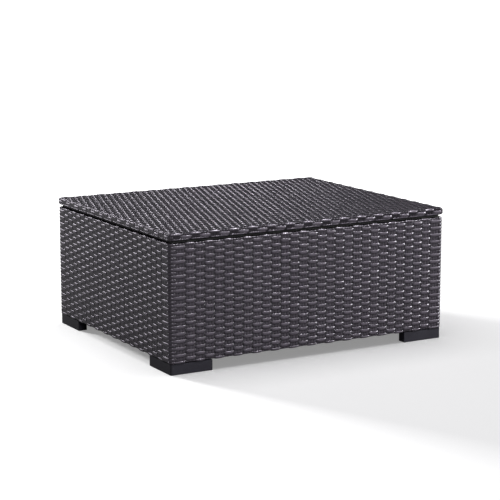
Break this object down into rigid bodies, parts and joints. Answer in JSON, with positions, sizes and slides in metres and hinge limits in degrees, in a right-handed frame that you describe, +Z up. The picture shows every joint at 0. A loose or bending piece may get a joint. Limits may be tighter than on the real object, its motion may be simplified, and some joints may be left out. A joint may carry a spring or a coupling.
{
  "type": "coffee table",
  "caption": "Low rectangular garden coffee table: woven resin body and woven top panel over a narrow shadow seam, on L-shaped corner feet.",
  "frame": {"origin": "on the floor, under the middle of the table", "axes": "+X along the table's length, to the right seen from the front; +Y from the front to the rear; +Z up"},
  "size_m": [0.83, 0.685, 0.36],
  "materials": {
    "woven_resin": "satin",
    "frame_powder_coat": "satin powder coat",
    "foot_plastic": "satin",
    "spacer_rubber": "matt",
    "zinc_steel": "zinc plated"
  },
  "bodies": {
    "root": {"bottom_rail_front": "frame_powder_coat", "bottom_rail_left": "frame_powder_coat", "bottom_rail_rear": "frame_powder_coat", "bottom_rail_right": "frame_powder_coat", "bottom_wrap_front": "woven_resin", "bottom_wrap_left": "woven_resin", "bottom_wrap_rear": "woven_resin", "bottom_wrap_right": "woven_resin", "corner_post_front_left": "frame_powder_coat", "corner_post_front_right": "frame_powder_coat", "corner_post_rear_left": "frame_powder_coat", "corner_post_rear_right": "frame_powder_coat", "corner_wrap_front_left": "woven_resin", "corner_wrap_front_right": "woven_resin", "corner_wrap_rear_left": "woven_resin", "corner_wrap_rear_right": "woven_resin", "foot_front_left": "foot_plastic", "foot_front_right": "foot_plastic", "foot_rear_left": "foot_plastic", "foot_rear_right": "foot_plastic", "foot_rivet_nuts": "zinc_steel", "foot_screws": "zinc_steel", "lid_bolts": "zinc_steel", "lid_crossbar_left": "frame_powder_coat", "lid_crossbar_middle": "frame_powder_coat", "lid_crossbar_right": "frame_powder_coat", "lid_edge_wrap_front": "woven_resin", "lid_edge_wrap_left": "woven_resin", "lid_edge_wrap_rear": "woven_resin", "lid_edge_wrap_right": "woven_resin", "lid_rail_front": "frame_powder_coat", "lid_rail_left": "frame_powder_coat", "lid_rail_rear": "frame_powder_coat", "lid_rail_right": "frame_powder_coat", "lid_rivet_nuts": "zinc_steel", "lid_spacers": "spacer_rubber", "lid_washers": "zinc_steel", "lid_weave": "woven_resin", "seam_strips": "spacer_rubber", "top_crossbar_left": "frame_powder_coat", "top_crossbar_right": "frame_powder_coat", "top_rail_front": "frame_powder_coat", "top_rail_left": "frame_powder_coat", "top_rail_rear": "frame_powder_coat", "top_rail_right": "frame_powder_coat", "top_wrap_front": "woven_resin", "top_wrap_left": "woven_resin", "top_wrap_rear": "woven_resin", "top_wrap_right": "woven_resin", "upright_front_left": "frame_powder_coat", "upright_front_right": "frame_powder_coat", "upright_left": "frame_powder_coat", "upright_rear_left": "frame_powder_coat", "upright_rear_right": "frame_powder_coat", "upright_right": "frame_powder_coat", "weave_front": "woven_resin", "weave_left": "woven_resin", "weave_rear": "woven_resin", "weave_right": "woven_resin"}
  },
  "joints": []
}
